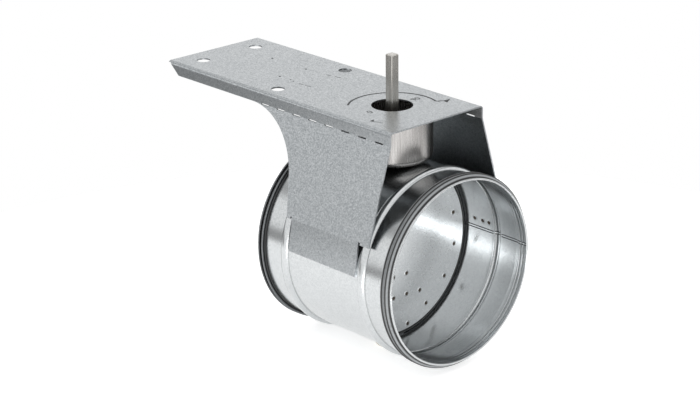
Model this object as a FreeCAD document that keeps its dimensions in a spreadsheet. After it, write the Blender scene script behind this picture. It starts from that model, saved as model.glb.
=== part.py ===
import FreeCAD, Part
import math
import os
import Sketcher

V = FreeCAD.Vector

# Driving dimensions in millimetres, with angles in degrees
SIZES = [
    ("casing_outer", 79.7, "outer radius of the round casing"),
    ("casing_wall", 0.8, "casing sheet thickness"),
    ("casing_half", 82.0, "half of the casing length, rim to rim"),
    ("bead_place", 46.9, "stop bead centre from the spindle axis"),
    ("bead_width", 8.4, "stop bead width"),
    ("bead_rise", 2.9, "stop bead height above the casing"),
    ("seat_start", 70.4, "where the wall steps in to the gasket seat"),
    ("seat_end", 80.4, "where the gasket seat meets the folded rim"),
    ("seat_drop", 0.8, "how far the seat steps in"),
    ("rim_thick", 1.8, "thickness of the folded rim"),
    ("lip_radius", 83.1, "free radius of the sealing lips"),
    ("lip_root", 80.1, "root radius of the sealing lips"),
    ("shelf_top", 125.5, "top of the motor shelf above the duct axis"),
    ("shelf_wide", 105.5, "outer width of the shelf"),
    ("shelf_front", 53.0, "front edge of the shelf"),
    ("shelf_rear", 230.5, "rear edge of the shelf, towards minus X"),
    ("bracket_wall", 1.25, "bracket sheet thickness"),
    ("shelf_bend", 3.0, "outer radius of the shelf bends"),
    ("fold_height", 114.4, "height of the perforated fold line"),
    ("tab_angle", 8.0, "angle of the weld line above the duct axis"),
    ("tab_fold", 33.8, "height of the fold between leg and weld tab"),
    ("tab_low", 6.5, "lower end of the weld tabs"),
    ("tab_half", 40.3, "half width of the weld tabs"),
    ("leg_rear", 46.6, "rear shoulder of the leg, towards minus X"),
    ("leg_curve", 64.0, "radius of the curved rear edge of the leg"),
    ("leg_sweep", 76.54, "angle swept by that curve"),
    ("leg_start", 116.4, "where the curve leaves the fold line"),
    ("lip_bottom", 216.7, "rear end of the shelf lip at its lower edge"),
    ("lip_upper", 228.2, "rear end of the shelf lip at its upper edge"),
    ("slot_long", 10.0, "length of a fold line slot"),
    ("slot_high", 1.2, "width of a fold line slot"),
    ("slot_pitch", 20.0, "pitch of the fold line slots"),
    ("slot_first", 100.0, "rearmost slot from the spindle axis"),
    ("screw_hole", 12.0, "diameter of the four shelf holes"),
    ("rear_hole_x", 209.5, "rear hole pair from the spindle axis"),
    ("rear_hole_y", 30.0, "rear hole pair either side of the middle"),
    ("mid_hole_x", 99.5, "middle hole pair from the spindle axis"),
    ("mid_hole_y", 38.5, "middle hole pair either side of the middle"),
    ("spindle_hole", 35.0, "clearance hole round the spindle"),
    ("cup_radius", 34.0, "outer radius of the stand-off cup"),
    ("cup_wall", 1.5, "cup wall thickness"),
    ("cup_corner", 5.5, "outer radius of the cup's bottom edge"),
    ("cup_floor", 80.5, "underside of the cup above the duct axis"),
    ("bush_bore", 7.55, "bore radius of both bearing bushes"),
    ("bush_shank", 9.5, "shank radius of both bushes"),
    ("bush_flange", 14.0, "flange radius of both bushes"),
    ("bush_boss", 12.0, "radius of the upper bush's boss"),
    ("flange_top", 84.0, "top of the upper bush's flange"),
    ("boss_top", 94.0, "top of the upper bush's boss"),
    ("ring_height", 89.2, "height of the shaft seal ring"),
    ("ring_section", 0.725, "half the section of the shaft seal ring"),
    ("seal_outer", 16.0, "outer radius of the upper bush's pad seal"),
    ("low_seal", 80.7, "depth of the lower pad seal's flat face"),
    ("low_flange", 82.2, "depth of the lower bush's end face"),
    ("cap_outer", 15.2, "outer radius of the lower bearing cap"),
    ("cap_floor", 87.6, "depth of the cap's end"),
    ("cap_wall", 1.4, "thickness of the cap's end"),
    ("cap_bevel", 0.8, "bevel round the cap's end"),
    ("sleeve_radius", 7.5, "outer radius of the spindle sleeves"),
    ("sleeve_groove", 6.7, "groove radius for the retaining clips"),
    ("sleeve_inner", 79.0, "inner ends of the sleeves"),
    ("sleeve_top", 98.0, "top of the upper sleeve"),
    ("sleeve_low", 84.8, "lower end of the lower sleeve"),
    ("end_play", 0.05, "axial play at each thrust washer"),
    ("washer_thick", 0.8, "thrust washer thickness"),
    ("washer_radius", 11.0, "outer radius of the washers"),
    ("clip_thick", 1.0, "retaining clip thickness"),
    ("clip_radius", 10.0, "outer radius of the clips"),
    ("clip_gap", 5.0, "opening of the clips"),
    ("spindle_side", 8.0, "side of the square spindle"),
    ("spindle_top", 169.5, "top of the spindle above the duct axis"),
    ("spindle_low", 85.4, "lower end of the spindle"),
    ("spindle_edge", 0.6, "flat on each long edge of the spindle"),
    ("spindle_bevel", 0.8, "bevel of the spindle's ends"),
    ("disc_radius", 75.0, "radius of both blade discs"),
    ("disc_thick", 1.0, "thickness of both blade discs"),
    ("gasket_thick", 3.0, "thickness of the blade gasket"),
    ("gasket_sphere", 78.4, "ball radius followed by the gasket's edge"),
    ("gasket_inner", 57.0, "inner radius of the blade gasket"),
    ("weld_circle", 65.5, "circle of the blade's weld dimples"),
    ("weld_count", 14.0, "number of weld dimples"),
    ("dimple_radius", 3.0, "outer radius of a weld dimple"),
    ("dimple_hole", 3.5, "radius of the gasket's holes"),
    ("saddle_near", 15.0, "saddle end nearer the duct axis"),
    ("saddle_far", 47.0, "saddle end farther from the duct axis"),
    ("saddle_wall", 1.5, "saddle sheet thickness"),
    ("saddle_half", 27.0, "half of the saddle's overall width"),
]
VALUE = {name: size for name, size, words in SIZES}


class Dim:
    """A number together with the sheet expression that gives it."""

    def __init__(self, number, text):
        self.number = float(number)
        self.text = text

    def __add__(self, other):
        other = dim(other)
        return Dim(self.number + other.number, "(%s + %s)" % (self.text, other.text))

    def __radd__(self, other):
        return dim(other) + self

    def __sub__(self, other):
        other = dim(other)
        return Dim(self.number - other.number, "(%s - %s)" % (self.text, other.text))

    def __rsub__(self, other):
        return dim(other) - self

    def __mul__(self, other):
        other = dim(other)
        return Dim(self.number * other.number, "(%s * %s)" % (self.text, other.text))

    def __rmul__(self, other):
        return dim(other) * self

    def __truediv__(self, other):
        other = dim(other)
        return Dim(self.number / other.number, "(%s / %s)" % (self.text, other.text))

    def __neg__(self):
        return Dim(0, "0") - self


def dim(value):
    return value if isinstance(value, Dim) else Dim(value, repr(float(value)))


def size(name):
    return Dim(VALUE[name], "Sizes." + name)


def sine(angle):
    return Dim(math.sin(math.radians(angle.number)), "sin(%s * 1 deg)" % angle.text)


def cosine(angle):
    return Dim(math.cos(math.radians(angle.number)), "cos(%s * 1 deg)" % angle.text)


def root(value):
    return Dim(math.sqrt(value.number), "sqrt(%s)" % value.text)


doc = FreeCAD.newDocument("ShutOffDamper")
sheet = doc.addObject("Spreadsheet::Sheet", "Sizes")
for row, (name, number, words) in enumerate(SIZES, start=1):
    sheet.set("A%d" % row, words)
    sheet.set("B%d" % row, str(number))
    sheet.setAlias("B%d" % row, name)
doc.recompute()

PARTS = []


def new_part(label):
    body = doc.addObject("PartDesign::Body", label)
    body.Label = label
    body.Placement = FreeCAD.Placement(V(0, 0, 0), FreeCAD.Rotation())
    PARTS.append(body)
    return body


def origin_item(body, role):
    return [item for item in body.Origin.OriginFeatures if item.Role == role][0]


def new_sketch(body, name, role, lift=None):
    sketch = body.newObject("Sketcher::SketchObject", body.Name + "_" + name)
    sketch.AttachmentSupport = [(origin_item(body, role), "")]
    sketch.MapMode = "FlatFace"
    if lift is not None:
        sketch.AttachmentOffset = FreeCAD.Placement(V(0, 0, lift.number), FreeCAD.Rotation())
        sketch.setExpression("AttachmentOffset.Base.z", lift.text)
    return sketch


def bind(sketch, kind, args, value):
    number = sketch.addConstraint(Sketcher.Constraint(kind, *args, value.number))
    sketch.setExpression("Constraints[%d]" % number, value.text)


def outline(sketch, points):
    """Closed run of lines. A point that carries (radius, side) starts an arc to the next point,
    bulging to the left (+1) or to the right (-1) of the way there."""
    count = len(points)
    spots = [(dim(p[0]), dim(p[1])) for p in points]
    edges = []
    for i, point in enumerate(points):
        ax, ay = spots[i][0].number, spots[i][1].number
        bx, by = spots[(i + 1) % count][0].number, spots[(i + 1) % count][1].number
        if len(point) == 2:
            edges.append((sketch.addGeometry(Part.LineSegment(V(ax, ay, 0), V(bx, by, 0)), False), 1, 2))
            continue
        radius, side = dim(point[2]), point[3]
        chord = math.hypot(bx - ax, by - ay)
        ux, uy = (bx - ax) / chord, (by - ay) / chord
        depth = math.sqrt(max(radius.number ** 2 - chord ** 2 / 4, 0))
        cx = (ax + bx) / 2 + uy * depth * side
        cy = (ay + by) / 2 - ux * depth * side
        circle = Part.Circle(V(cx, cy, 0), V(0, 0, 1), radius.number)
        from_angle = math.atan2(ay - cy, ax - cx)
        to_angle = math.atan2(by - cy, bx - cx)
        if side > 0:
            arc = Part.ArcOfCircle(circle, to_angle, from_angle)
            edges.append((sketch.addGeometry(arc, False), 2, 1))
        else:
            arc = Part.ArcOfCircle(circle, from_angle, to_angle)
            edges.append((sketch.addGeometry(arc, False), 1, 2))
        bind(sketch, "Radius", (edges[-1][0],), radius)
    for i in range(count):
        here, after = edges[i], edges[(i + 1) % count]
        sketch.addConstraint(Sketcher.Constraint("Coincident", here[0], here[2], after[0], after[1]))
        bind(sketch, "DistanceX", (-1, 1, here[0], here[1]), spots[i][0])
        bind(sketch, "DistanceY", (-1, 1, here[0], here[1]), spots[i][1])


def circle(sketch, x, y, radius):
    x, y, radius = dim(x), dim(y), dim(radius)
    ring = sketch.addGeometry(Part.Circle(V(x.number, y.number, 0), V(0, 0, 1), radius.number), False)
    bind(sketch, "DistanceX", (-1, 1, ring, 3), x)
    bind(sketch, "DistanceY", (-1, 1, ring, 3), y)
    bind(sketch, "Radius", (ring,), radius)


def feature(body, kind, name, sketch=None):
    item = body.newObject("PartDesign::" + kind, body.Name + "_" + name)
    if sketch is not None:
        item.Profile = sketch
        sketch.Visibility = False
    return item


def pad(body, name, sketch, length, back=None):
    item = feature(body, "Pad", name, sketch)
    item.Length = length.number
    item.setExpression("Length", length.text)
    if back is not None:
        item.SideType = "Two sides"
        item.Length2 = back.number
        item.setExpression("Length2", back.text)
    doc.recompute()
    return item


def cut_depth(body, name, sketch, length, reverse):
    item = feature(body, "Pocket", name, sketch)
    item.Length = length.number
    item.setExpression("Length", length.text)
    item.Reversed = reverse
    doc.recompute()
    return item


def cut_through(body, name, sketch):
    """A cut through everything, on both sides of the sketch's plane."""
    item = feature(body, "Pocket", name, sketch)
    item.Type = "ThroughAll"
    item.SideType = "Symmetric"
    doc.recompute()
    return item


def spin(body, kind, name, sketch, axis):
    item = feature(body, kind, name, sketch)
    item.ReferenceAxis = (sketch, [axis])
    item.Angle = 360
    doc.recompute()
    return item


def turned_z(label, points):
    """A piece turned about the spindle axis, from (radius, height) points."""
    body = new_part(label)
    sketch = new_sketch(body, "section", "XZ_Plane")
    outline(sketch, points)
    spin(body, "Revolution", "turned", sketch, "V_Axis")
    return body


def hollow_about_duct(body, radius, reach):
    """Shapes a face to the casing by clearing the round space about the duct axis."""
    sketch = new_sketch(body, "duct_space", "XZ_Plane")
    outline(sketch, [(-reach, 0), (reach, 0), (reach, radius), (-reach, radius)])
    spin(body, "Groove", "duct_round", sketch, "H_Axis")


# Round casing with two stop beads, gasket seats and folded rims
outer = size("casing_outer")
inner = outer - size("casing_wall")
crown = outer + size("bead_rise")
half_bead = size("bead_width") / 2
bead_round = (half_bead * half_bead + size("bead_rise") * size("bead_rise")) / (2 * size("bead_rise"))
inner_round = bead_round - size("casing_wall")
bead_centre = crown - bead_round
inner_half = root(inner_round * inner_round - (inner - bead_centre) * (inner - bead_centre))
seat_outer = outer - size("seat_drop")
seat_inner = seat_outer - size("casing_wall")
rim_round = size("rim_thick") / 2
rim_face = size("casing_half") - rim_round

casing = new_part("duct_casing")
profile = new_sketch(casing, "half_section", "XZ_Plane")
outline(profile, [
    (0, inner),
    (size("bead_place") - inner_half, inner, inner_round, 1),
    (size("bead_place") + inner_half, inner),
    (size("seat_start"), inner),
    (size("seat_start") + size("seat_drop"), seat_inner),
    (rim_face, seat_inner, rim_round, -1),
    (rim_face, seat_inner + size("rim_thick")),
    (size("seat_end"), seat_inner + size("rim_thick")),
    (size("seat_end"), seat_outer),
    (size("seat_start") + size("seat_drop"), seat_outer),
    (size("seat_start"), outer),
    (size("bead_place") + half_bead, outer, bead_round, -1),
    (size("bead_place") - half_bead, outer),
    (0, outer),
])
half = spin(casing, "Revolution", "rolled", profile, "H_Axis")
whole = feature(casing, "Mirrored", "both_ends")
whole.Originals = [half]
whole.MirrorPlane = (origin_item(casing, "YZ_Plane"), [""])
casing.Tip = whole
doc.recompute()
bush_hole = new_sketch(casing, "bush_holes", "XY_Plane")
circle(bush_hole, 0, 0, size("bush_shank"))
cut_through(casing, "bush_holes_cut", bush_hole)


# Double-lipped duct gaskets, one at each end
def duct_gasket(label, way):
    body = new_part(label)
    sketch = new_sketch(body, "section", "XZ_Plane")
    start = size("seat_start") + size("seat_drop")
    end = size("seat_end")
    points = [
        (start, seat_outer),
        (end, seat_outer),
        (end, size("lip_root") - 0.4),
        (end - 0.5, size("lip_root") + 0.1),
        (end - 2.9, size("lip_radius")),
        (end - 3.6, size("lip_radius")),
        (end - 2.6, size("lip_root")),
        (end - 4.6, size("lip_root")),
        (end - 7.2, size("lip_radius") - 0.1),
        (end - 7.9, size("lip_radius") - 0.1),
        (end - 6.9, size("lip_root")),
        (end - 8.7, size("lip_root") - 0.2),
        (start, size("lip_root") - 0.6),
    ]
    outline(sketch, [(way * x, y) for x, y in points])
    spin(body, "Revolution", "moulded", sketch, "H_Axis")
    return body


duct_gasket("front_duct_gasket", 1.0)
duct_gasket("rear_duct_gasket", -1.0)

# Motor bracket: shelf, side lips, leaning legs and weld tabs folded from one sheet
wall = size("bracket_wall")
side = size("shelf_wide") / 2
under = size("shelf_top") - wall
tab = size("tab_angle")
fold = size("fold_height")
bend = size("shelf_bend")
touch_y = outer * cosine(tab)
touch_z = outer * sine(tab)
fold_y = touch_y - (size("tab_fold") - touch_z) * sine(tab) / cosine(tab)
low_y = touch_y + (touch_z - size("tab_low")) * sine(tab) / cosine(tab)
lean_run = fold_y - (side - wall)
lean_drop = fold - size("tab_fold")
lean_long = root(lean_run * lean_run + lean_drop * lean_drop)
lean_sine = lean_run / lean_long
lean_cosine = lean_drop / lean_long
fold_share = wall * (1 - lean_cosine) / lean_sine
mix_y = lean_cosine + cosine(tab)
mix_z = lean_sine + sine(tab)
mix = wall * 2 / (mix_y * mix_y + mix_z * mix_z)

bracket = new_part("motor_bracket")
section = new_sketch(bracket, "half_section", "YZ_Plane")
outline(section, [
    (0, under),
    (0, size("shelf_top")),
    (side - bend, size("shelf_top"), bend, 1),
    (side, size("shelf_top") - bend),
    (side, fold + fold_share),
    (fold_y + mix * mix_y, size("tab_fold") + mix * mix_z),
    (low_y + wall * cosine(tab), size("tab_low") + wall * sine(tab)),
    (low_y, size("tab_low")),
    (fold_y, size("tab_fold")),
    (side - wall, fold),
    (side - wall, size("shelf_top") - bend, bend - wall, -1),
    (side - bend, under),
])
folded = pad(bracket, "folded", section, size("shelf_front"), size("shelf_rear"))
pair = feature(bracket, "Mirrored", "both_sides")
pair.Originals = [folded]
pair.MirrorPlane = (origin_item(bracket, "XZ_Plane"), [""])
bracket.Tip = pair
doc.recompute()

curve_x = -size("leg_start")
curve_z = fold - size("leg_curve")
leave_x = curve_x + size("leg_curve") * sine(size("leg_sweep"))
leave_z = curve_z + size("leg_curve") * cosine(size("leg_sweep"))
end_x = -size("leg_rear")
notch = dim(2.0)
rear_shape = new_sketch(bracket, "rear_shape", "XZ_Plane")
outline(rear_shape, [
    (-size("shelf_rear") - 10, under),
    (-size("lip_upper"), under),
    (-size("lip_bottom"), fold),
    (curve_x, fold, size("leg_curve"), 1),
    (leave_x, leave_z),
    (end_x, size("tab_fold")),
    (-size("tab_half") - notch, size("tab_fold")),
    (-size("tab_half") - notch, size("tab_fold") + notch),
    (-size("tab_half"), size("tab_fold") + notch),
    (-size("tab_half"), 0),
    (-size("shelf_rear") - 10, 0),
])
cut_through(bracket, "rear_cut", rear_shape)
front_shape = new_sketch(bracket, "front_shape", "XZ_Plane")
outline(front_shape, [
    (size("shelf_front") + 10, 0),
    (size("tab_half"), 0),
    (size("tab_half"), size("tab_fold") + notch),
    (size("tab_half") + notch, size("tab_fold") + notch),
    (size("tab_half") + notch, size("tab_fold")),
    (size("shelf_front") + 10, size("tab_fold")),
])
cut_through(bracket, "front_cut", front_shape)

# Fold line slots, both sides at once
slot = new_sketch(bracket, "slot", "XZ_Plane")
slot_half = (size("slot_long") - size("slot_high")) / 2
slot_rise = size("slot_high") / 2
slot_x = -size("slot_first")
outline(slot, [
    (slot_x - slot_half, fold - slot_rise),
    (slot_x + slot_half, fold - slot_rise, slot_rise, -1),
    (slot_x + slot_half, fold + slot_rise),
    (slot_x - slot_half, fold + slot_rise, slot_rise, -1),
])
first_slot = cut_through(bracket, "slot_cut", slot)
slots = feature(bracket, "LinearPattern", "slot_row")
slots.Originals = [first_slot]
slots.Direction = (slot, ["H_Axis"])
slots.Length = 7 * VALUE["slot_pitch"]
slots.setExpression("Length", "Sizes.slot_pitch * 7")
slots.Occurrences = 8
bracket.Tip = slots
doc.recompute()

# Shelf holes: two pairs for a motor and the clearance round the spindle
holes = new_sketch(bracket, "shelf_holes", "XY_Plane", under - 5)
for way in (-1.0, 1.0):
    circle(holes, -size("rear_hole_x"), way * size("rear_hole_y"), size("screw_hole") / 2)
    circle(holes, -size("mid_hole_x"), way * size("mid_hole_y"), size("screw_hole") / 2)
circle(holes, 0, 0, size("spindle_hole") / 2)
cut_depth(bracket, "shelf_holes_cut", holes, dim(15), True)

# Stand-off cup between casing and shelf
cup_out = size("cup_radius")
cup_in = cup_out - size("cup_wall")
cup_corner = size("cup_corner")
cup_inside = cup_corner - size("cup_wall")
cup_low = size("cup_floor")
turned_z("standoff_cup", [
    (size("bush_shank"), cup_low),
    (cup_out - cup_corner, cup_low, cup_corner, -1),
    (cup_out, cup_low + cup_corner),
    (cup_out, under),
    (cup_in, under),
    (cup_in, cup_low + cup_corner, cup_inside, 1),
    (cup_out - cup_corner, cup_low + size("cup_wall")),
    (size("bush_shank"), cup_low + size("cup_wall")),
])

# Upper bearing bush, shaped to the casing at its inner end, with a groove for the shaft seal
bore = size("bush_bore")
shank = size("bush_shank")
flange = size("bush_flange")
ring = size("ring_section")
ring_z = size("ring_height")
upper_bush = turned_z("upper_bearing_bush", [
    (bore, size("casing_outer") - 4),
    (shank, size("casing_outer") - 4),
    (shank, cup_low + size("cup_wall")),
    (flange, cup_low + size("cup_wall")),
    (flange, size("flange_top")),
    (size("bush_boss"), size("flange_top")),
    (size("bush_boss"), size("boss_top")),
    (bore, size("boss_top")),
    (bore, ring_z + ring * 1.2),
    (bore + ring * 2, ring_z + ring * 1.2),
    (bore + ring * 2, ring_z - ring * 1.2),
    (bore, ring_z - ring * 1.2),
])
hollow_about_duct(upper_bush, inner, dim(30))
upper_pad = turned_z("upper_bush_seal", [
    (shank, outer - 4), (size("seal_outer"), outer - 4),
    (size("seal_outer"), cup_low), (shank, cup_low),
])
hollow_about_duct(upper_pad, outer, dim(30))
turned_z("upper_shaft_seal", [
    (bore, ring_z - ring), (bore + ring * 2, ring_z - ring),
    (bore + ring * 2, ring_z + ring), (bore, ring_z + ring),
])

# Lower bearing: bush, pad seal and closed cap
lower_bush = turned_z("lower_bearing_bush", [
    (bore, 4 - outer), (bore, -size("low_flange")),
    (flange, -size("low_flange")), (flange, -size("low_seal")),
    (shank, -size("low_seal")), (shank, 4 - outer),
])
hollow_about_duct(lower_bush, inner, dim(30))
lower_pad = turned_z("lower_bush_seal", [
    (shank, 4 - outer), (shank, -size("low_seal")),
    (flange, -size("low_seal")), (flange, 4 - outer),
])
hollow_about_duct(lower_pad, outer, dim(30))
lower_cap = turned_z("lower_bearing_cap", [
    (flange, 4 - outer), (flange, size("cap_wall") - size("cap_floor")),
    (0, size("cap_wall") - size("cap_floor")), (0, -size("cap_floor")),
    (size("cap_outer") - size("cap_bevel"), -size("cap_floor")),
    (size("cap_outer"), size("cap_bevel") - size("cap_floor")), (size("cap_outer"), 4 - outer),
])
hollow_about_duct(lower_cap, outer, dim(30))

# Square spindle
spindle = new_part("square_spindle")
square = new_sketch(spindle, "square", "XY_Plane")
flat = size("spindle_side") / 2
narrow = flat - size("spindle_edge")
outline(square, [
    (-narrow, -flat), (narrow, -flat), (flat, -narrow), (flat, narrow),
    (narrow, flat), (-narrow, flat), (-flat, narrow), (-flat, -narrow),
])
bar = pad(spindle, "bar", square, size("spindle_top"), size("spindle_low"))
ends = ["Edge%d" % (i + 1) for i, edge in enumerate(bar.Shape.Edges)
        if edge.BoundBox.ZLength < 0.01]
bevel = feature(spindle, "Chamfer", "end_bevels")
bevel.Base = (bar, ends)
bevel.Size = VALUE["spindle_bevel"]
bevel.setExpression("Size", "Sizes.spindle_bevel")
doc.recompute()

# Blade: front disc, rear disc with weld dimples, and the rubber ring held between them
rear_plane = size("spindle_side") / 2
gap_start = rear_plane + size("disc_thick")
gap_end = gap_start + size("gasket_thick")
front_disc = new_part("front_blade_disc")
disc = new_sketch(front_disc, "disc", "YZ_Plane", gap_end)
circle(disc, 0, 0, size("disc_radius"))
pad(front_disc, "sheet", disc, size("disc_thick"))

first_y = size("weld_circle") * cosine(dim(14.6))
first_z = size("weld_circle") * sine(dim(14.6))


def ring_of(body, name, items, sketch):
    """Repeats features round the disc's axis."""
    turn = feature(body, "PolarPattern", name)
    turn.Originals = items
    turn.Axis = (sketch, ["N_Axis"])
    turn.Angle = 360
    turn.Occurrences = int(VALUE["weld_count"])
    turn.setExpression("Occurrences", "Sizes.weld_count")
    body.Tip = turn
    doc.recompute()


rear_disc = new_part("rear_blade_disc")
disc = new_sketch(rear_disc, "disc", "YZ_Plane", rear_plane)
circle(disc, 0, 0, size("disc_radius"))
pad(rear_disc, "sheet", disc, size("disc_thick"))
boss = new_sketch(rear_disc, "dimple", "YZ_Plane", gap_start)
circle(boss, first_y, first_z, size("dimple_radius"))
dimple = pad(rear_disc, "dimple_pad", boss, size("gasket_thick"))
dent = new_sketch(rear_disc, "dent", "YZ_Plane", rear_plane)
circle(dent, first_y, first_z, size("dimple_radius") - 0.8)
hollow = cut_depth(rear_disc, "dent_cut", dent, size("gasket_thick"), True)
ring_of(rear_disc, "dimple_ring", [dimple, hollow], dent)

blade_rubber = new_part("blade_gasket")
section = new_sketch(blade_rubber, "section", "XZ_Plane")
ball = size("gasket_sphere")
outline(section, [
    (gap_start, size("gasket_inner")),
    (gap_end, size("gasket_inner")),
    (gap_end, root(ball * ball - gap_end * gap_end), ball, -1),
    (gap_start, root(ball * ball - gap_start * gap_start)),
])
spin(blade_rubber, "Revolution", "moulded", section, "H_Axis")
hole = new_sketch(blade_rubber, "dimple_hole", "YZ_Plane")
circle(hole, first_y, first_z, size("dimple_hole"))
opening = cut_through(blade_rubber, "dimple_hole_cut", hole)
ring_of(blade_rubber, "dimple_hole_ring", [opening], hole)


# Hat-shaped saddles that hold the spindle against the back of the blade
def saddle(label, low):
    body = new_part(label)
    sketch = new_sketch(body, "section", "XY_Plane", low)
    sheet_wall = size("saddle_wall")
    back = -flat - sheet_wall
    outline(sketch, [
        (flat, -size("saddle_half")),
        (flat, -flat), (-flat, -flat), (-flat, flat), (flat, flat),
        (flat, size("saddle_half")),
        (flat - sheet_wall, size("saddle_half")),
        (flat - sheet_wall, flat + sheet_wall),
        (back, flat + sheet_wall), (back, -flat - sheet_wall),
        (flat - sheet_wall, -flat - sheet_wall),
        (flat - sheet_wall, -size("saddle_half")),
    ])
    pad(body, "folded", sketch, size("saddle_far") - size("saddle_near"))
    return body


saddle("upper_spindle_saddle", size("saddle_near"))
saddle("lower_spindle_saddle", -size("saddle_far"))

# Round sleeves that turn with the spindle inside the bushes, with their washers and clips
sleeve = size("sleeve_radius")
deep = size("sleeve_groove")
play = size("end_play")
washer_low = size("boss_top") + play
washer_top = washer_low + size("washer_thick")
clip_top = washer_top + size("clip_thick")
upper_sleeve = turned_z("upper_spindle_sleeve", [
    (0, size("sleeve_inner")), (sleeve, size("sleeve_inner")),
    (sleeve, washer_top), (deep, washer_top), (deep, clip_top), (sleeve, clip_top),
    (sleeve, size("sleeve_top")), (0, size("sleeve_top")),
])
lower_washer = -size("low_flange") - play
lower_clip = lower_washer - size("washer_thick")
lower_clip_end = lower_clip - size("clip_thick")
lower_sleeve = turned_z("lower_spindle_sleeve", [
    (0, -size("sleeve_inner")), (0, -size("sleeve_low")),
    (sleeve, -size("sleeve_low")), (sleeve, lower_clip_end), (deep, lower_clip_end),
    (deep, lower_clip), (sleeve, lower_clip), (sleeve, -size("sleeve_inner")),
])
for body in (upper_sleeve, lower_sleeve):
    square_hole = new_sketch(body, "square", "XY_Plane")
    outline(square_hole, [(-flat, -flat), (flat, -flat), (flat, flat), (-flat, flat)])
    cut_through(body, "square_bore", square_hole)


def thrust_washer(label, low, high):
    return turned_z(label, [
        (sleeve, low), (size("washer_radius"), low),
        (size("washer_radius"), high), (sleeve, high),
    ])


def retaining_clip(label, low):
    body = new_part(label)
    sketch = new_sketch(body, "ring", "XY_Plane", low)
    circle(sketch, 0, 0, size("clip_radius"))
    circle(sketch, 0, 0, deep)
    pad(body, "stamped", sketch, size("clip_thick"))
    mouth = new_sketch(body, "mouth", "XY_Plane")
    gap = size("clip_gap") / 2
    outline(mouth, [(-20, -gap), (0, -gap), (0, gap), (-20, gap)])
    cut_through(body, "mouth_cut", mouth)
    return body


thrust_washer("upper_thrust_washer", washer_low, washer_top)
thrust_washer("lower_thrust_washer", lower_clip, lower_washer)
retaining_clip("upper_retaining_clip", washer_top)
retaining_clip("lower_retaining_clip", lower_clip_end)

# Every object and every finished shape is checked before anything is written
doc.recompute()
faults = [item.Name + " " + " ".join(item.State) for item in doc.Objects
          if "Invalid" in item.State or "Error" in item.State]
for body in PARTS:
    shape = body.Shape
    if shape.isNull() or not shape.isValid() or len(shape.Solids) != 1:
        faults.append("%s has no single valid solid (%s)" % (body.Label, body.Tip.Name))
if faults:
    raise RuntimeError("; ".join(faults))

os.makedirs("parts", exist_ok=True)
for body in PARTS:
    body.Shape.exportStep("parts/%s.step" % body.Label)
    box = body.Shape.BoundBox
    print("%-22s volume %9.1f  x %7.2f %7.2f  y %7.2f %7.2f  z %7.2f %7.2f" % (
        body.Label, body.Shape.Volume, box.XMin, box.XMax, box.YMin, box.YMax, box.ZMin, box.ZMax))
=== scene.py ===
import bmesh
import bpy
import math
from mathutils import Euler, Matrix, Vector


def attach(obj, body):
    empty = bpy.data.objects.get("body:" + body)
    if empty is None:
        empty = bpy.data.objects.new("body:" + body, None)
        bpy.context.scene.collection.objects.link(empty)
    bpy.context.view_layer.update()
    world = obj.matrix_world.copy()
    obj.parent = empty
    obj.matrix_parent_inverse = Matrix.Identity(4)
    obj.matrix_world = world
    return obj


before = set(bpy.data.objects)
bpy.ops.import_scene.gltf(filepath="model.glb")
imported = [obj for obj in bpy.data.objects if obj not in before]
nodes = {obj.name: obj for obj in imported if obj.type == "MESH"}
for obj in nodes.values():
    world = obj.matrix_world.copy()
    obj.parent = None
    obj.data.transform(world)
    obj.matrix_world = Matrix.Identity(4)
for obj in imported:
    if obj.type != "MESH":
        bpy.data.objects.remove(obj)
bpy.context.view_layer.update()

MM = 0.001

# The camera of the photograph, as solved from the casing's rims and the shelf's corners: its place and
# how far it sees in metres, its angles in degrees, and its lens and sensor in millimetres
CAMERA_PLACE = Vector((1.2927, -1.2294, 0.6978))
CAMERA_TURN = 47.58
CAMERA_DROP = 20.18
CAMERA_TILT = -0.55
CAMERA_LENS = 116.6
CAMERA_SENSOR = 36.0
CAMERA_REACH = 30.0

# Places on the CAD part that the added details sit on, in millimetres: heights above the duct axis or
# radii round it, and distances along it from the spindle
SHELF_TOP = 125.5
CASING_BORE = 78.9
SEAT_BORE = 78.1
BLADE_FACE = 9.0
BEAD = 46.9
STEP = 70.4
RIM = 82.0

# Fine lines of painted shade round the moulded rubber rings: where the first one is along the duct, the
# distance from one to the next, and half the width of a line's core and of its soft edge
LIP_LINE = 71.4
LIP_PITCH = 2.1
LIP_LINE_CORE = 0.25
LIP_LINE_EDGE = 0.75

# The marks on the shelf: the thickness of bold and fine ones, half of it above the sheet, the height
# of the dial's numbers, and the font's size as a multiple of the height of its figures
BOLD_THICK = 0.16
FINE_THICK = 0.12
NUMBER_HEIGHT = 6.2
FONT_PER_FIGURE = 1.4

# The profile of a spot weld's mark of one radius, from its rim to its middle, as (distance out,
# height), and the distance out within which its floor is burnt. Other marks are scaled from it.
WELD_RADIUS = 2.2
WELD_CHAIN = ((2.2, -0.05), (1.75, 0.22), (1.4, 0.22), (1.15, 0.05), (0.0, 0.05))
WELD_BURNT = 1.5

# The casing's long seam: its angle above the duct's level on the far side, and how far its two dark
# lines are from its middle, in degrees
SEAM_ANGLE = 2.5
SEAM_LINES = 0.75

# Nearly all of a noise pattern lies between these two values
NOISE_LOW = 0.3
NOISE_HIGH = 0.7


def make_camera():
    data = bpy.data.cameras.new("photo_camera")
    data.lens = CAMERA_LENS
    data.sensor_width = CAMERA_SENSOR
    data.clip_end = CAMERA_REACH
    camera = bpy.data.objects.new("photo_camera", data)
    bpy.context.scene.collection.objects.link(camera)
    level = Euler((math.radians(90.0 - CAMERA_DROP), 0.0, math.radians(CAMERA_TURN))).to_matrix()
    tilt = Matrix.Rotation(math.radians(CAMERA_TILT), 3, "Z")
    camera.matrix_world = Matrix.Translation(CAMERA_PLACE) @ (level @ tilt).to_4x4()
    bpy.context.scene.camera = camera


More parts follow.
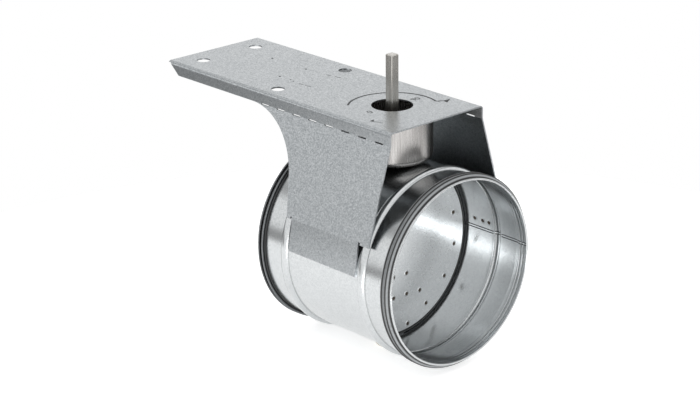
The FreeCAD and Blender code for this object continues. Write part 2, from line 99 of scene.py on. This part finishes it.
def linear(code):
    """An sRGB hex value as a linear colour."""
    steps = [int(code[i:i + 2], 16) / 255.0 for i in (1, 3, 5)]
    return tuple(c / 12.92 if c <= 0.04045 else ((c + 0.055) / 1.055) ** 2.4 for c in steps) + (1.0,)


def add(tree, kind, links=(), inputs=(), **settings):
    """A node with its settings, its plain input values and its links."""
    item = tree.nodes.new(kind)
    for name, value in settings.items():
        setattr(item, name, value)
    for key, value in dict(inputs).items():
        item.inputs[key].default_value = value
    for key, source in dict(links).items():
        tree.links.new(source, item.inputs[key])
    return item


def new_material(name, roughness, metallic=0.0):
    """A material with its shader and its Object coordinates."""
    material = bpy.data.materials.new(name)
    material.use_nodes = True
    tree = material.node_tree
    tree.nodes.clear()
    shader = add(tree, "ShaderNodeBsdfPrincipled", inputs={"Roughness": roughness, "Metallic": metallic})
    add(tree, "ShaderNodeOutputMaterial", links={"Surface": shader.outputs[0]})
    place = add(tree, "ShaderNodeTexCoord").outputs["Object"]
    return material, tree, shader, place


def grains(tree, place, size_mm, stretch=(1.0, 1.0, 1.0), detail=3.0):
    """Soft noise whose grains are size_mm across, drawn out along an axis where stretch is small."""
    turned = add(tree, "ShaderNodeMapping", links={"Vector": place}, inputs={"Scale": stretch})
    return add(tree, "ShaderNodeTexNoise", links={"Vector": turned.outputs[0]},
               inputs={"Scale": 1.0 / (size_mm * MM), "Detail": detail, "Roughness": 0.6}).outputs["Fac"]


def spread(tree, value, low, high, out_low=0.0, out_high=1.0):
    """A value's range from low to high, stretched to another range and cut off at its ends."""
    return add(tree, "ShaderNodeMapRange", links={"Value": value},
               inputs={"From Min": low, "From Max": high, "To Min": out_low, "To Max": out_high}).outputs[0]


def tint(tree, shader, factor, base, dark):
    """Colours the shader between two sRGB values."""
    colour = add(tree, "ShaderNodeMix", data_type="RGBA", links={"Factor": factor},
                 inputs={"A": linear(base), "B": linear(dark)})
    tree.links.new(colour.outputs["Result"], shader.inputs["Base Color"])


def relief(tree, shader, height, depth_mm):
    """Makes a pattern stand out of the surface by a depth."""
    bump = add(tree, "ShaderNodeBump", links={"Height": height},
               inputs={"Strength": 1.0, "Distance": depth_mm * MM})
    tree.links.new(bump.outputs[0], shader.inputs["Normal"])


def galvanised(name, base, dark, spangle_mm, grain_mm, roughness, rougher, depth_mm):
    """Hot-dip galvanised sheet: bluish grey metal in flat zinc crystals that each reflect a little
    differently, under a rolled grain that breaks the edges of its reflections. The crystals have
    their real size. The grain is finer on the real sheet, and is as coarse as it needs to show."""
    material, tree, shader, place = new_material(name, roughness, 1.0)
    crystals = add(tree, "ShaderNodeTexVoronoi", links={"Vector": place},
                   inputs={"Scale": 1.0 / (spangle_mm * MM)})
    crystal = add(tree, "ShaderNodeSeparateColor", links={"Color": crystals.outputs["Color"]}).outputs[0]
    grain = grains(tree, place, grain_mm)
    # The grain counts twice as much as the crystal, and nearly all of their sum lies from low to high
    weight, low, high = 2.0, 0.6, 2.4
    both = add(tree, "ShaderNodeMath", operation="MULTIPLY_ADD", links={0: grain, 2: crystal},
               inputs={1: weight}).outputs[0]
    tint(tree, shader, spread(tree, both, low, high), base, dark)
    tree.links.new(spread(tree, both, low, high, roughness, rougher), shader.inputs["Roughness"])
    relief(tree, shader, grain, depth_mm)
    return material


def brushed(name, base, dark, line_mm, stretch, roughness, rougher, depth_mm=0.01):
    """Drawn metal: lines along the way it was worked, which smear its reflections. They are as
    coarse as they need to show, because the real ones are some hundredths of a millimetre wide."""
    material, tree, shader, place = new_material(name, roughness, 1.0)
    lines = grains(tree, place, line_mm, stretch, detail=4.0)
    tint(tree, shader, spread(tree, lines, NOISE_LOW, NOISE_HIGH), base, dark)
    tree.links.new(spread(tree, lines, NOISE_LOW, NOISE_HIGH, roughness, rougher), shader.inputs["Roughness"])
    relief(tree, shader, lines, depth_mm)
    return material


def moulded(name, base, dark, grain_mm, roughness, depth_mm):
    """Moulded rubber or plastic: one dull colour with a slight cloud and a fine skin."""
    material, tree, shader, place = new_material(name, roughness)
    skin = grains(tree, place, grain_mm)
    tint(tree, shader, spread(tree, skin, NOISE_LOW, NOISE_HIGH), base, dark)
    relief(tree, shader, skin, depth_mm)
    return material


def rubber_with_painted_sheen(name, pale, deep, grain_mm, low_mm, high_mm):
    """Moulded EPDM ring: black, with a painted sheen of grey towards the high radius of its lips, and
    painted shade that keeps it near black in its grooves and in fine lines round it. Its colour follows
    the distance from the duct axis, between a low and a high radius, and the distance along it."""
    material, tree, shader, place = new_material(name, 0.55)
    across = add(tree, "ShaderNodeVectorMath", operation="MULTIPLY", links={0: place},
                 inputs={1: (0.0, 1.0, 1.0)}).outputs[0]
    radius = add(tree, "ShaderNodeVectorMath", operation="LENGTH", links={0: across}).outputs["Value"]
    # Painted sheen: grey towards the high radius, and black below it as painted shade in the grooves
    height = spread(tree, radius, low_mm * MM, high_mm * MM)
    streaks = grains(tree, place, grain_mm)
    sheen_with_cloud = add(tree, "ShaderNodeMath", operation="MULTIPLY", links={0: height,
                 1: spread(tree, streaks, 0.25, 0.6, 0.75, 1.0)}).outputs[0]
    along = add(tree, "ShaderNodeSeparateXYZ", links={"Vector": place}).outputs["X"]
    either_end = add(tree, "ShaderNodeMath", operation="ABSOLUTE", links={0: along}).outputs[0]
    past_line = add(tree, "ShaderNodeMath", operation="SUBTRACT", links={0: either_end},
                    inputs={1: LIP_LINE * MM}).outputs[0]
    # Painted shade: fine near-black lines at a fixed pitch along the duct
    beside = add(tree, "ShaderNodeMath", operation="PINGPONG", links={0: past_line},
                 inputs={1: LIP_PITCH / 2 * MM}).outputs[0]
    painted_sheen_and_shade = add(tree, "ShaderNodeMath", operation="MULTIPLY", links={0: sheen_with_cloud,
               1: spread(tree, beside, LIP_LINE_CORE * MM, LIP_LINE_EDGE * MM)}).outputs[0]
    tint(tree, shader, painted_sheen_and_shade, deep, pale)
    relief(tree, shader, streaks, 0.02)
    return material


def plain(name, base, roughness, metallic=0.0):
    """A small mark with no more than a slight cloud, because it is too fine to show a pattern. The
    cloud goes less than a third of the way to black."""
    material, tree, shader, place = new_material(name, roughness, metallic)
    cloud = grains(tree, place, 0.5)
    tint(tree, shader, spread(tree, cloud, NOISE_LOW, 0.9, 0.0, 0.3), base, "#000000")
    return material


def dress(material, *names):
    """Gives CAD nodes a material."""
    for name in names:
        for held in nodes[name].material_slots:
            held.material = material


make_camera()

# Smooth bright sheet, which mirrors the room in long bands
casing_zinc = galvanised("casing_galvanised_sheet", "#C6C8C9", "#B3B6B7", spangle_mm=1.2, grain_mm=0.7,
                         roughness=0.17, rougher=0.25, depth_mm=0.003)
# Duller sheet whose grain shows as a fine grey sparkle
bracket_zinc = galvanised("bracket_galvanised_sheet", "#C4C7C9", "#82878A", spangle_mm=0.9, grain_mm=0.6,
                          roughness=0.25, rougher=0.38, depth_mm=0.018)
# Pale flat sheet with a soft sheen
blade_zinc = galvanised("blade_galvanised_sheet", "#DFE1E2", "#CDD0D2", spangle_mm=1.4, grain_mm=0.8,
                        roughness=0.26, rougher=0.32, depth_mm=0.004)
# Zinc plated bright bar: long pale and brown drawing lines
spindle_zinc = brushed("spindle_plated_steel", "#CFCDC8", "#9E9A94", line_mm=0.9, stretch=(1.0, 1.0, 0.04),
                       roughness=0.22, rougher=0.34)
# Deep drawn aluminium: warm grey with upright streaks from the die
cup_aluminium = brushed("cup_drawn_aluminium", "#BDBBB9", "#A3A09E", line_mm=0.8, stretch=(1.0, 1.0, 0.03),
                        roughness=0.24, rougher=0.3, depth_mm=0.003)
# Phosphated spring steel: dull dark grey
clip_steel = brushed("clip_spring_steel", "#77787A", "#4C4D4F", line_mm=0.6, stretch=(1.0, 1.0, 1.0),
                     roughness=0.35, rougher=0.5)
# EPDM lips of the duct's rings, and the same rubber at the blade's edge: black, with a painted sheen of grey
# towards the lip tips and painted shade in the grooves
lip_rubber = rubber_with_painted_sheen("gasket_rubber_painted_sheen", "#8E9193", "#0C0C0C", grain_mm=1.6, low_mm=79.7,
                          high_mm=80.7)
# The blade's rubber: a painted sheen of grey at its outer edge, black as painted shade inside it
edge_rubber = rubber_with_painted_sheen("blade_rubber_painted_sheen", "#8E9193", "#0C0C0C", grain_mm=1.6, low_mm=77.0,
                           high_mm=77.6)
# Clean EPDM of the small seals: even black
black_rubber = moulded("seal_black_rubber", "#1A1A1A", "#0E0E0E", grain_mm=0.8, roughness=0.5, depth_mm=0.01)
# Injection moulded acetal and polyamide of the bearings: black, grey, and undyed ivory
black_plastic = moulded("bearing_black_plastic", "#232325", "#18181A", grain_mm=0.6, roughness=0.45,
                        depth_mm=0.01)
grey_plastic = moulded("bearing_grey_plastic", "#8A8E92", "#787C80", grain_mm=0.6, roughness=0.45,
                       depth_mm=0.01)
pale_plastic = moulded("washer_pale_plastic", "#D9D6CD", "#C9C5BA", grain_mm=0.8, roughness=0.45,
                       depth_mm=0.01)
# Marks in the sheet: scribed and stamped lines are dark steel with painted shade of their grooves, and a
# spot weld leaves a bright rim of pushed-up zinc round a floor that is burnt brown
dark_line = plain("scribed_line", "#222527", 0.6)
# Painted shade: the numbers are as dark as a stamped recess in shadow
number_line = plain("dial_numeral", "#222527", 0.5)
burnt_weld = plain("burnt_weld_spot", "#4A4138", 0.5, 0.6)
bright_weld = plain("weld_spot_rim", "#D9DCDD", 0.25, 1.0)

dress(casing_zinc, "duct_casing")
dress(bracket_zinc, "motor_bracket")
dress(cup_aluminium, "standoff_cup")
dress(spindle_zinc, "square_spindle")
dress(lip_rubber, "front_duct_gasket", "rear_duct_gasket")
dress(blade_zinc, "front_blade_disc", "rear_blade_disc", "upper_spindle_saddle", "lower_spindle_saddle")
dress(edge_rubber, "blade_gasket")
dress(black_rubber, "upper_bush_seal", "upper_shaft_seal", "lower_bush_seal")
dress(grey_plastic, "upper_bearing_bush", "lower_bearing_bush")
dress(black_plastic, "upper_spindle_sleeve", "lower_spindle_sleeve")
dress(pale_plastic, "upper_thrust_washer", "lower_thrust_washer", "lower_bearing_cap")
dress(clip_steel, "upper_retaining_clip", "lower_retaining_clip")


def new_piece(name, bm, body, materials):
    """Finishes a bmesh, measured in millimetres, as a piece that rides on a body."""
    bmesh.ops.remove_doubles(bm, verts=bm.verts, dist=0.001)
    bmesh.ops.recalc_face_normals(bm, faces=bm.faces)
    bmesh.ops.scale(bm, vec=(MM, MM, MM), verts=bm.verts)
    mesh = bpy.data.meshes.new(name)
    bm.to_mesh(mesh)
    bm.free()
    for material in materials:
        mesh.materials.append(material)
    piece = bpy.data.objects.new(name, mesh)
    bpy.context.scene.collection.objects.link(piece)
    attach(piece, body)
    return piece


def flat_bar(bm, start, end, wide, thick):
    """A thin flat bar between two places on the shelf's top, half sunk in it. It runs past them a
    little, so that two bars join at a corner."""
    run = Vector(end) - Vector(start)
    middle = (Vector(start) + Vector(end)) / 2
    made = bmesh.ops.create_cube(bm, size=1.0)["verts"]
    bmesh.ops.scale(bm, vec=(run.length + wide * 0.6, wide, thick), verts=made)
    turn = Matrix.Rotation(math.atan2(run.y, run.x), 4, "Z")
    lift = Matrix.Translation((middle.x, middle.y, SHELF_TOP))
    bmesh.ops.transform(bm, matrix=lift @ turn, verts=made)


def arc_bar(bm, centre, radius, start, sweep, wide, thick, steps):
    """A thin flat bar bent round a centre on the shelf's top, half sunk in it."""
    corners = [bm.verts.new((radius + across, 0.0, up)) for across, up in (
        (-wide / 2, -thick / 2), (wide / 2, -thick / 2), (wide / 2, thick / 2), (-wide / 2, thick / 2))]
    end = bm.faces.new(corners)
    turn = Matrix.Rotation(math.radians(start), 3, "Z")
    bmesh.ops.rotate(bm, cent=(0, 0, 0), matrix=turn, verts=corners)
    geom = [end] + list(end.edges) + corners
    before = set(bm.verts) - set(corners)
    bmesh.ops.spin(bm, geom=geom, cent=(0, 0, 0), axis=(0, 0, 1), angle=math.radians(sweep), steps=steps)
    made = [vert for vert in bm.verts if vert not in before]
    bmesh.ops.translate(bm, vec=(centre[0], centre[1], SHELF_TOP), verts=made)


def arrow_head(bm, corners, thick):
    """A flat three-cornered head on the shelf's top, half sunk in it."""
    made = [bm.verts.new((x, y, SHELF_TOP - thick / 2)) for x, y in corners]
    face = bm.faces.new(made)
    raised = bmesh.ops.extrude_face_region(bm, geom=[face])["geom"]
    top = [item for item in raised if isinstance(item, bmesh.types.BMVert)]
    bmesh.ops.translate(bm, vec=(0, 0, thick), verts=top)


def make_dial():
    """The dial round the spindle: a scribed arc with an arrow at its far end, joined to it by a
    kink, and a second arrow at the near side with a fine tail."""
    bm = bmesh.new()
    arc_bar(bm, centre=(3.0, -1.6), radius=37.6, start=67.0, sweep=155.0, wide=1.7, thick=BOLD_THICK,
            steps=62)
    kink = ((17.6, 33.3), (19.4, 34.6), (19.8, 36.6), (23.0, 39.0))
    for start, end in zip(kink, kink[1:]):
        flat_bar(bm, start, end, wide=1.25, thick=BOLD_THICK)
    arrow_head(bm, ((21.3, 38.2), (27.0, 37.2), (21.6, 46.2)), BOLD_THICK)
    arrow_head(bm, ((18.2, -42.6), (21.4, -41.2), (17.6, -37.0)), BOLD_THICK)
    flat_bar(bm, (20.4, -41.4), (24.6, -39.7), wide=0.6, thick=FINE_THICK)
    flat_bar(bm, (24.6, -39.7), (29.0, -38.4), wide=0.5, thick=FINE_THICK)
    new_piece("dial_scribed_lines", bm, "casing", [dark_line])


def make_numeral(text, x, y):
    """A plain number stamped beside the dial, read from the shelf's front. Its strokes are a little
    bolder than the font's."""
    curve = bpy.data.curves.new("numeral_" + text, "FONT")
    curve.body = text
    curve.size = NUMBER_HEIGHT * FONT_PER_FIGURE
    curve.extrude = FINE_THICK / 2
    curve.offset = 0.04
    curve.align_x = "CENTER"
    curve.align_y = "CENTER"
    holder = bpy.data.objects.new("numeral_" + text, curve)
    mesh = bpy.data.meshes.new_from_object(holder)
    bpy.data.objects.remove(holder)
    bm = bmesh.new()
    bm.from_mesh(mesh)
    bpy.data.meshes.remove(mesh)
    turn = Matrix.Rotation(math.radians(90.0), 4, "Z")
    bmesh.ops.transform(bm, matrix=Matrix.Translation((x, y, SHELF_TOP)) @ turn, verts=bm.verts)
    new_piece("dial_number_" + text, bm, "casing", [number_line])


def make_pips():
    """Small punched pips, as (x, y, radius), and scratches between two places on the shelf."""
    pips = ((-171.4, 17.2, 1.2), (-126.1, 16.7, 1.1), (-125.6, -13.7, 1.1), (-112.0, -13.5, 0.8),
            (-107.0, -14.5, 0.8))
    scratches = (((-98.0, -16.0), (-93.5, -15.2)), ((-91.5, -15.0), (-84.5, -14.6)),
                 ((-101.0, 18.0), (-96.0, 18.8)), ((-92.0, 20.0), (-86.0, 21.0)))
    bm = bmesh.new()
    for x, y, radius in pips:
        made = bmesh.ops.create_uvsphere(bm, u_segments=12, v_segments=6, radius=radius)["verts"]
        bmesh.ops.scale(bm, vec=(1.0, 1.0, 0.2), verts=made)
        bmesh.ops.translate(bm, vec=(x, y, SHELF_TOP), verts=made)
    for start, end in scratches:
        flat_bar(bm, start, end, wide=0.6, thick=FINE_THICK)
    new_piece("shelf_pips_and_scratches", bm, "casing", [dark_line])


def weld_mark(bm, radius, place, axis):
    """A resistance weld's mark: a low ring of pushed-up metal round a burnt floor."""
    scale = radius / WELD_RADIUS
    verts = [bm.verts.new((out * scale, 0.0, high)) for out, high in WELD_CHAIN]
    edges = [bm.edges.new(pair) for pair in zip(verts, verts[1:])]
    before = set(bm.verts) - set(verts)
    old_faces = set(bm.faces)
    bmesh.ops.spin(bm, geom=verts + edges, cent=(0, 0, 0), axis=(0, 0, 1), angle=math.tau, steps=16,
                   use_merge=True)
    made = [vert for vert in bm.verts if vert not in before]
    for face in set(bm.faces) - old_faces:
        reach = max(math.hypot(vert.co.x, vert.co.y) for vert in face.verts)
        face.material_index = 1 if reach < WELD_BURNT * scale else 0
    rim = [edge for edge in bm.edges if edge.is_boundary and edge.verts[0] in made]
    bmesh.ops.holes_fill(bm, edges=rim, sides=0)
    turn = Vector((0, 0, 1)).rotation_difference(Vector(axis)).to_matrix().to_4x4()
    bmesh.ops.transform(bm, matrix=Matrix.Translation(place) @ turn, verts=made)


def make_blade_welds():
    """Spot welds through both blade sheets: a ring of fourteen near the edge, of which the lowest
    sits off its place, and six over each saddle."""
    count, out, first = 14, 65.3, 15.2
    turns = [math.radians(first - 360.0 / count * i) for i in range(count)]
    spots = [(out * math.cos(turn), out * math.sin(turn)) for turn in turns]
    spots[4] = (8.9, -70.3)
    for side in (1, -1):
        for end in (-1, 1):
            spots += [(side * 7.6, end * 23.6), (side * 7.6, end * 42.5), (side * 23.2, end * 43.5)]
    bm = bmesh.new()
    for y, z in spots:
        weld_mark(bm, radius=2.6, place=(BLADE_FACE, y, z), axis=(1, 0, 0))
    new_piece("blade_weld_marks", bm, "blade", [bright_weld, burnt_weld])


def make_tab_welds():
    """The marks inside the casing of the spot welds that hold the bracket's tabs, a few degrees
    above the duct's level on both sides."""
    rise = 8.2
    bm = bmesh.new()
    for angle in (rise, 180.0 - rise):
        way = Vector((0.0, math.cos(math.radians(angle)), math.sin(math.radians(angle))))
        for x in (20.5, 30.0, 37.4, -18.0, -28.0):
            weld_mark(bm, radius=2.9, place=Vector((x, 0, 0)) + way * CASING_BORE, axis=-way)
    new_piece("tab_weld_marks", bm, "casing", [bright_weld, burnt_weld])


def front_wall():
    """The casing's inside from behind the front bead to the rim, as (x, radius): the bead's groove
    with soft rolled edges, the step to the gasket seat and two fine ribs left by the rolling. Two
    places close together before and after a bend hold the smooth shading of the flat beside it."""
    groove = [(BEAD + across, CASING_BORE + rise) for across, rise in (
        (-7.0, 0.0), (-5.4, 0.0), (-4.8, 0.06), (-3.8, 0.4), (-2.6, 1.15), (-1.3, 1.85), (0.0, 2.1),
        (1.3, 1.85), (2.6, 1.15), (3.8, 0.4), (4.8, 0.06), (5.4, 0.0), (7.0, 0.0))]
    step = [(STEP - 1.2, CASING_BORE), (STEP - 0.7, CASING_BORE), (STEP - 0.2, CASING_BORE - 0.1),
            (STEP + 1.0, SEAT_BORE + 0.1), (STEP + 1.5, SEAT_BORE), (STEP + 2.0, SEAT_BORE)]
    rib_height = 0.28
    ribs = []
    for place in (STEP + 4.2, STEP + 7.4):
        ribs += [(place - 0.9, SEAT_BORE), (place - 0.6, SEAT_BORE), (place, SEAT_BORE - rib_height),
                 (place + 0.6, SEAT_BORE), (place + 0.9, SEAT_BORE)]
    return groove + step + ribs + [(RIM - 1.0, SEAT_BORE)]


def rear_wall():
    """The casing's inside from the rear rim to the rear bead's groove, as (x, radius), as plain as
    the solid has it."""
    seat = [(1.0 - RIM, SEAT_BORE), (-STEP - 0.8, SEAT_BORE), (-STEP, CASING_BORE)]
    groove = [(-BEAD + across, CASING_BORE + rise) for across, rise in (
        (-3.8, 0.0), (-2.5, 1.6), (0.0, 2.85), (2.5, 1.6), (3.8, 0.0))]
    return seat + groove


def wall_strip(bm, chain, angle, wide_mm, thick):
    """A thin strip that follows the casing's bore along a chain of (x, radius) places."""
    half = math.degrees(wide_mm / 2 / CASING_BORE)
    verts = [bm.verts.new((x, radius + thick / 2, 0.0)) for x, radius in chain]
    verts += [bm.verts.new((x, radius - thick / 2, 0.0)) for x, radius in reversed(chain)]
    face = bm.faces.new(verts)
    turn = Matrix.Rotation(math.radians(angle - half), 3, "X")
    bmesh.ops.rotate(bm, cent=(0, 0, 0), matrix=turn, verts=verts)
    bmesh.ops.spin(bm, geom=[face] + list(face.edges) + verts, cent=(0, 0, 0), axis=(1, 0, 0),
                   angle=math.radians(2 * half), steps=1)


def make_seam():
    """The casing's long welded seam from end to end of its bore: two dark lines beside a low bead."""
    inside = rear_wall() + front_wall()
    bm = bmesh.new()
    for angle in (SEAM_ANGLE - SEAM_LINES, SEAM_ANGLE + SEAM_LINES):
        wall_strip(bm, inside, angle, wide_mm=0.8, thick=0.26)
    new_piece("casing_seam_lines", bm, "casing", [dark_line])
    bm = bmesh.new()
    wall_strip(bm, inside, SEAM_ANGLE, wide_mm=1.0, thick=0.18)
    new_piece("casing_seam_bead", bm, "casing", [bright_weld])


def make_front_lining():
    """The casing's inner skin at its front, where the rolled shapes are open to view."""
    half_skin = 0.06
    chain = front_wall()
    bm = bmesh.new()
    verts = [bm.verts.new((x, 0.0, radius - half_skin)) for x, radius in chain]
    verts += [bm.verts.new((x, 0.0, radius + half_skin)) for x, radius in reversed(chain)]
    edges = [bm.edges.new(pair) for pair in zip(verts, verts[1:] + verts[:1])]
    bmesh.ops.spin(bm, geom=verts + edges, cent=(0, 0, 0), axis=(1, 0, 0), angle=math.tau, steps=180,
                   use_merge=True)
    piece = new_piece("casing_front_lining", bm, "casing", [casing_zinc])
    piece.data.shade_smooth()
    piece.data.set_sharp_from_angle(angle=math.radians(35.0))


def make_studio():
    """Plain soft light: a tent that is even and bright in front of the open duct. Elsewhere it is
    dimmer below the horizon and in a band above it, which the metal's round faces show. The camera
    sees white paper behind the object."""
    scene = bpy.context.scene
    scene.view_settings.view_transform = "Standard"
    world = bpy.data.worlds.new("studio")
    scene.world = world
    world.use_nodes = True
    tree = world.node_tree
    tree.nodes.clear()
    way = add(tree, "ShaderNodeTexCoord").outputs["Generated"]
    parted = add(tree, "ShaderNodeSeparateXYZ", links={"Vector": way}).outputs
    rise = add(tree, "ShaderNodeMath", operation="ARCSINE", links={0: parted["Z"]}).outputs[0]
    level = spread(tree, rise, math.radians(-90.0), math.radians(90.0))
    ramp = add(tree, "ShaderNodeValToRGB", links={"Fac": level})
    # The tent's tone at angles above the horizon, in degrees
    stops = ((-90, 0.3), (-3, 0.3), (2, 1.0), (25, 1.0), (30, 0.4), (36, 0.4), (42, 1.0), (90, 1.0))
    while len(ramp.color_ramp.elements) < len(stops):
        ramp.color_ramp.elements.new(0.5)
    for element, (angle, tone) in zip(ramp.color_ramp.elements, stops):
        element.position = (angle + 90.0) / 180.0
        element.color = (tone, tone, tone, 1.0)
    white = (1.0, 1.0, 1.0, 1.0)
    out_of_duct = (0.72, -0.69, 0.0)
    ahead = add(tree, "ShaderNodeVectorMath", operation="DOT_PRODUCT", links={0: way},
                inputs={1: out_of_duct}).outputs["Value"]
    open_side = spread(tree, ahead, 0.3, 0.7)
    cloth = add(tree, "ShaderNodeMix", data_type="RGBA", inputs={"B": white},
                links={"Factor": open_side, "A": ramp.outputs["Color"]}).outputs["Result"]
    tent = add(tree, "ShaderNodeBackground", links={"Color": cloth}, inputs={"Strength": 1.25})
    paper = add(tree, "ShaderNodeBackground", inputs={"Color": white, "Strength": 1.0})
    eye = add(tree, "ShaderNodeLightPath").outputs["Is Camera Ray"]
    both = add(tree, "ShaderNodeMixShader", links={0: eye, 1: tent.outputs[0], 2: paper.outputs[0]})
    add(tree, "ShaderNodeOutputWorld", links={"Surface": both.outputs[0]})


def make_front_fill(place_mm, aim_mm, wide_mm, high_mm, beam, watts):
    """A low soft box in front of the duct, which lights the blade and the casing's inside. Its beam
    is narrow, so that little of it falls on the cup above."""
    data = bpy.data.lights.new("front_fill", "AREA")
    data.shape = "RECTANGLE"
    data.size = wide_mm * MM
    data.size_y = high_mm * MM
    data.energy = watts
    data.spread = math.radians(beam)
    light = bpy.data.objects.new("front_fill", data)
    light.visible_camera = False
    aim = Vector(aim_mm) - Vector(place_mm)
    turn = aim.to_track_quat("-Z", "Y").to_matrix().to_4x4()
    light.matrix_world = Matrix.Translation(Vector(place_mm) * MM) @ turn
    bpy.context.scene.collection.objects.link(light)


def make_floor(radius_mm, x_mm, y_mm, top_mm, glow):
    """A round white table top just under the bearing cap, reaching further out on the open side. It
    glows a little, so that it meets the paper behind it without an edge."""
    bm = bmesh.new()
    bmesh.ops.create_circle(bm, cap_ends=True, radius=radius_mm * MM, segments=96)
    bmesh.ops.translate(bm, vec=(x_mm * MM, y_mm * MM, top_mm * MM), verts=bm.verts)
    mesh = bpy.data.meshes.new("floor")
    bm.to_mesh(mesh)
    bm.free()
    material, _, shader, _ = new_material("white_table", 0.9)
    shader.inputs["Base Color"].default_value = linear("#F4F4F4")
    shader.inputs["Emission Color"].default_value = (1.0, 1.0, 1.0, 1.0)
    shader.inputs["Emission Strength"].default_value = glow
    mesh.materials.append(material)
    floor = bpy.data.objects.new("floor", mesh)
    bpy.context.scene.collection.objects.link(floor)


make_dial()
make_numeral("0", 1.2, -26.3)
make_numeral("90", 2.0, 25.2)
make_pips()
make_blade_welds()
make_tab_welds()
make_seam()
make_front_lining()
make_studio()
make_front_fill(place_mm=(262.0, -168.0, -72.0), aim_mm=(60.0, 0.0, -15.0), wide_mm=280.0, high_mm=60.0,
                beam=45.0, watts=0.025)
make_floor(radius_mm=600.0, x_mm=100.0, y_mm=-100.0, top_mm=-88.2, glow=0.5)
